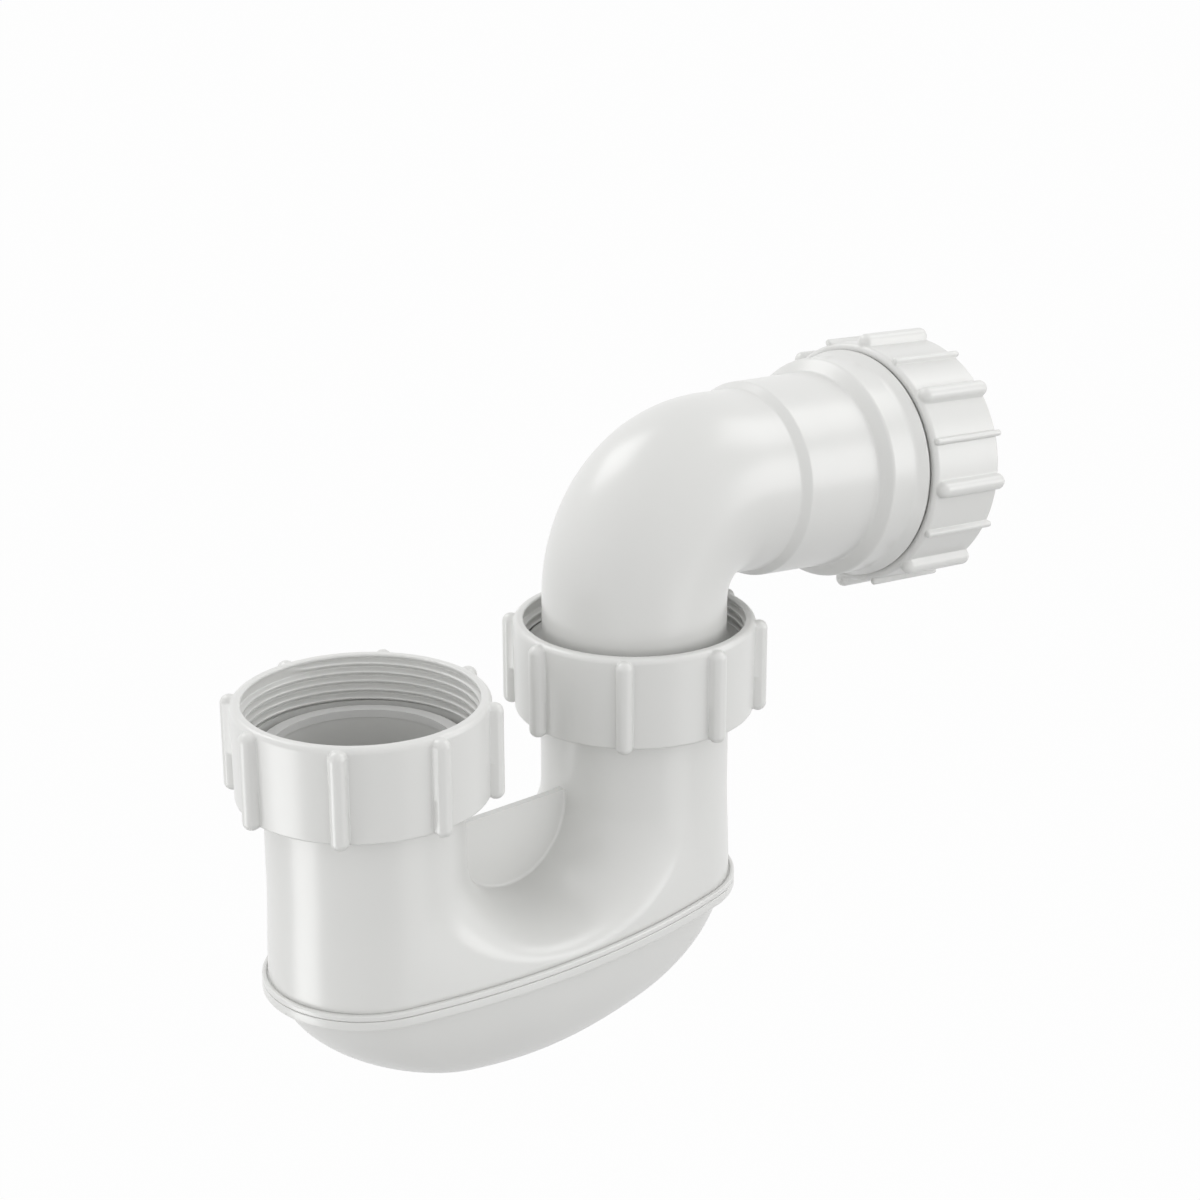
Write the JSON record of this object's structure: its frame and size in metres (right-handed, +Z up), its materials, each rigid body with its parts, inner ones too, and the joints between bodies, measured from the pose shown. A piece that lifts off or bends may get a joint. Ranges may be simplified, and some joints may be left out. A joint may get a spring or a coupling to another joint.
{
  "type": "tubular swivel p-trap",
  "caption": "White moulded swivel P-trap: a U-shaped water seal between an inlet with a screwed union nut and a gently falling outlet with a ribbed compression nut.",
  "frame": {"origin": "centre of the open mouth of the inlet nut, in the plane of its rim", "axes": "+Z up along the inlet leg, +X from the inlet leg to the riser, so the outlet leaves towards +X and falls 5 degrees"},
  "size_m": [0.2238, 0.0704, 0.1682],
  "materials": {
    "white_plastic": "glossy white moulded polypropylene",
    "washer_plastic": "soft pale flat washer",
    "ring_plastic": "smooth natural white",
    "seal_rubber": "matt black rubber"
  },
  "bodies": {
    "trap": {"trap_body": "white_plastic", "trap_bowl": "white_plastic", "inlet_washer": "washer_plastic", "riser_washer": "washer_plastic"},
    "inlet_nut": {"inlet_nut": "white_plastic"},
    "riser_nut": {"riser_nut": "white_plastic"},
    "elbow": {"elbow": "white_plastic", "outlet_seal": "seal_rubber", "slip_ring": "ring_plastic"},
    "outlet_nut": {"outlet_nut": "white_plastic"}
  },
  "joints": [
    {"name": "inlet_nut_spin", "type": "hinge", "parent": "trap", "child": "inlet_nut", "pos_m": [0, 0, 0], "axis": [0, 0, 1], "continuous": true},
    {"name": "riser_nut_spin", "type": "hinge", "parent": "trap", "child": "riser_nut", "pos_m": [0.0857, 0, 0], "axis": [0, 0, 1], "continuous": true},
    {"name": "elbow_swivel", "type": "hinge", "parent": "trap", "child": "elbow", "pos_m": [0.0857, 0, 0], "axis": [0, 0, 1], "range_deg": [-135, 135]},
    {"name": "outlet_nut_spin", "type": "hinge", "parent": "elbow", "child": "outlet_nut", "pos_m": [0.18612, 0, 0.02361], "axis": [0.9962, 0, -0.0872], "continuous": true}
  ]
}
